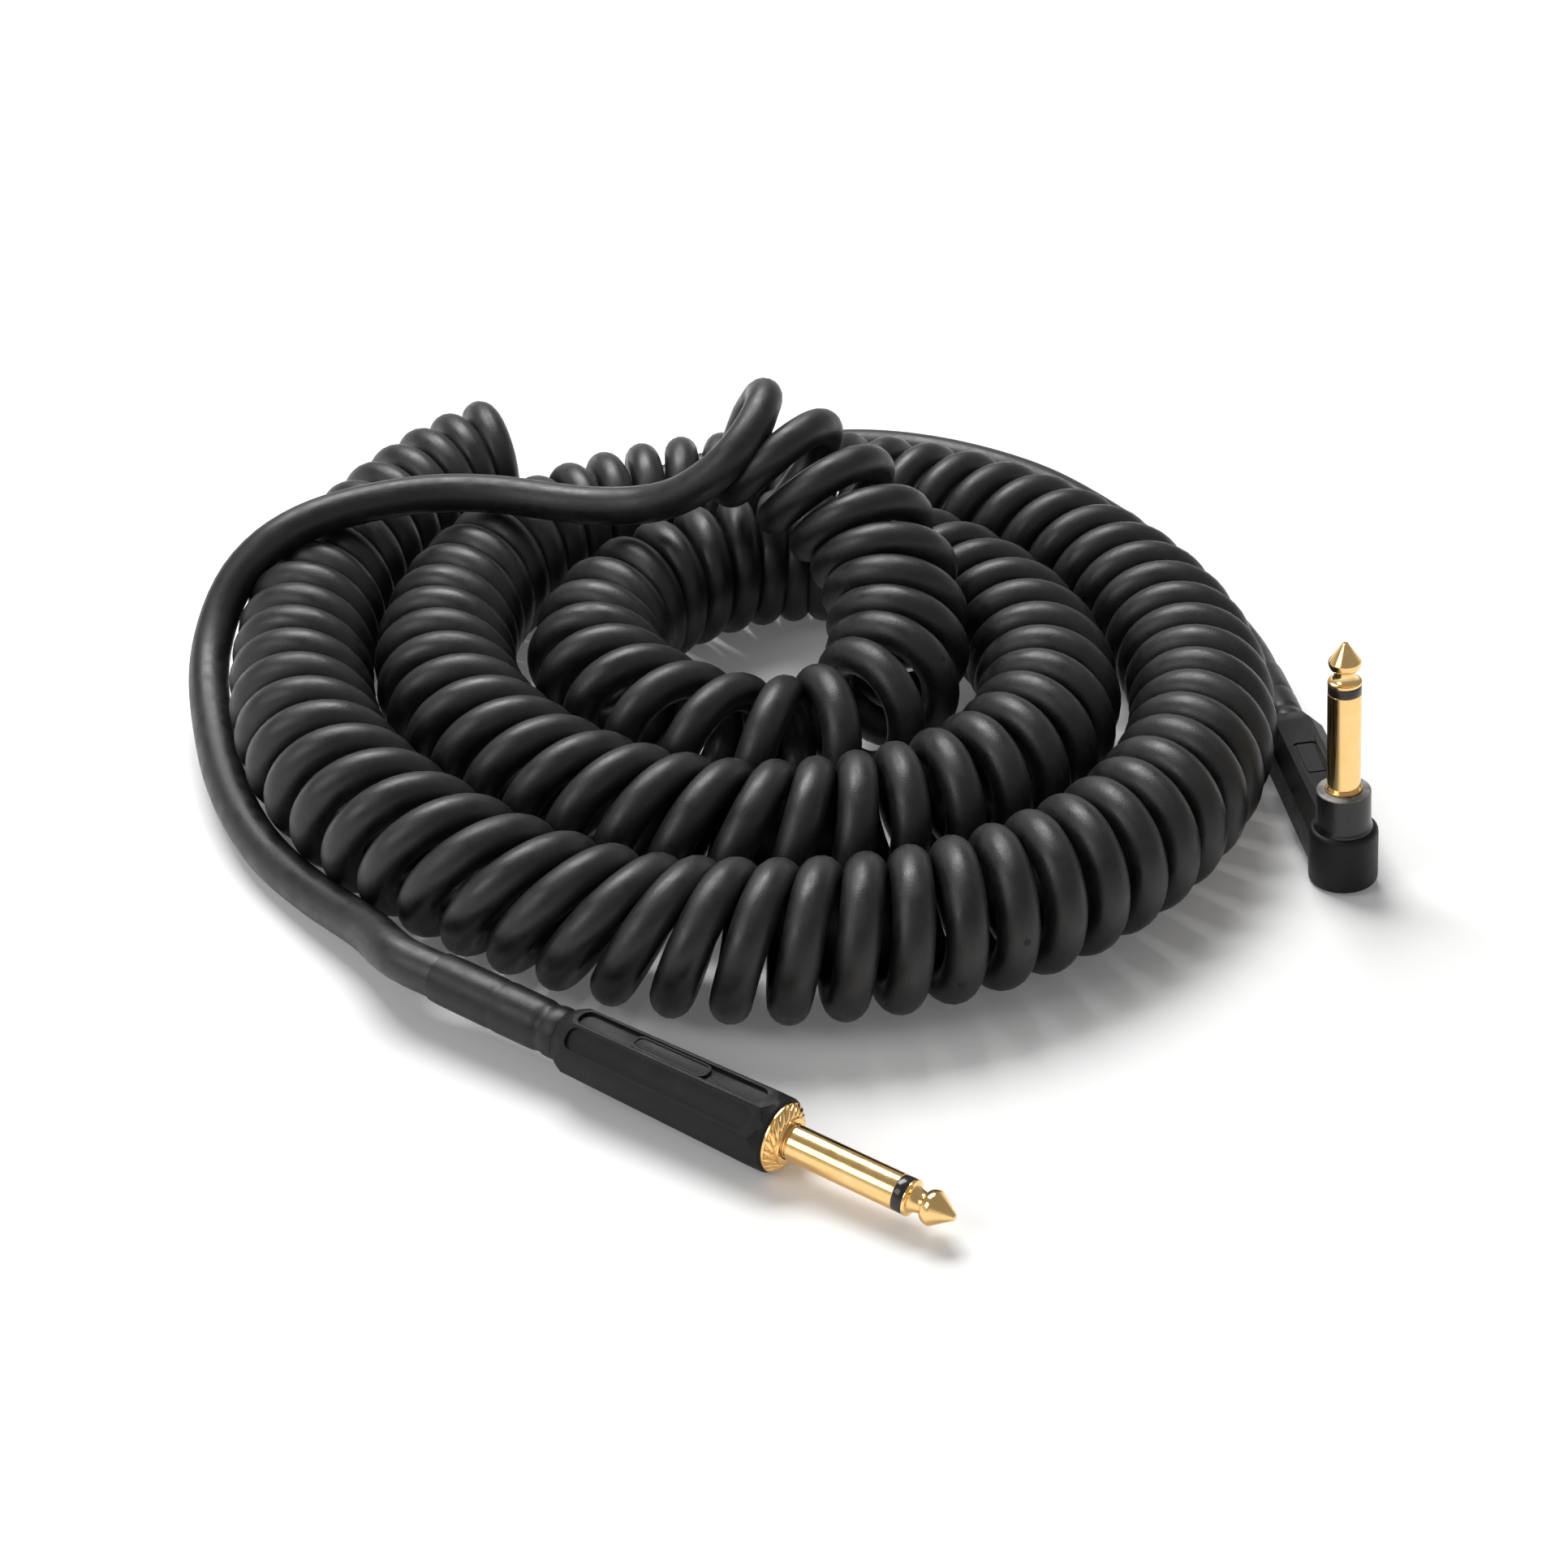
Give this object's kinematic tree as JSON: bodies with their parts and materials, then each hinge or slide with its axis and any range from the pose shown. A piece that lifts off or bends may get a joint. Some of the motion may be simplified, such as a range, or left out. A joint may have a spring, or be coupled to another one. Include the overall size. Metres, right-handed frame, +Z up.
{
  "type": "instrument cable",
  "caption": "Black curly instrument cable lying in a flat spiral, with a straight and a right-angle 6.35 mm gold phone plug.",
  "frame": {"origin": "on the surface that the cable lies on, under the middle of its footprint", "axes": "Z is up; the view of the picture looks along +Y, with +X to its right, so the straight plug is at the front and the right-angle plug at the right"},
  "size_m": [0.2453, 0.279, 0.0631],
  "materials": {
    "cord_jacket": "satin black",
    "moulded_grip": "matte black",
    "riser_plastic": "semi-gloss black",
    "gold_plate": "polished gold plate",
    "insulator": "dark grey-brown plastic",
    "tinned_steel": "tinned sheet",
    "copper_wire": "bare copper strands"
  },
  "bodies": {
    "root": {"curly_cord": "cord_jacket", "straight_lead": "cord_jacket", "angle_lead": "cord_jacket", "straight_cord_end": "cord_jacket", "angle_cord_end": "cord_jacket", "straight_handle": "moulded_grip", "straight_shrink_sleeve": "moulded_grip", "angle_housing": "moulded_grip", "angle_shrink_sleeve": "moulded_grip", "angle_riser": "riser_plastic", "straight_sleeve": "gold_plate", "straight_tip_contact": "gold_plate", "straight_knurled_collar": "gold_plate", "angle_sleeve": "gold_plate", "angle_tip_contact": "gold_plate", "straight_insulating_tube": "insulator", "straight_tip_insulator": "insulator", "straight_back_insulator": "insulator", "angle_insulating_tube": "insulator", "angle_tip_insulator": "insulator", "angle_back_insulator": "insulator", "straight_tip_lug": "tinned_steel", "straight_ground_lug": "tinned_steel", "angle_tip_lug": "tinned_steel", "angle_ground_lug": "tinned_steel", "straight_core_wire": "copper_wire", "straight_shield_wire": "copper_wire", "angle_core_wire": "copper_wire", "angle_shield_wire": "copper_wire"}
  },
  "joints": []
}
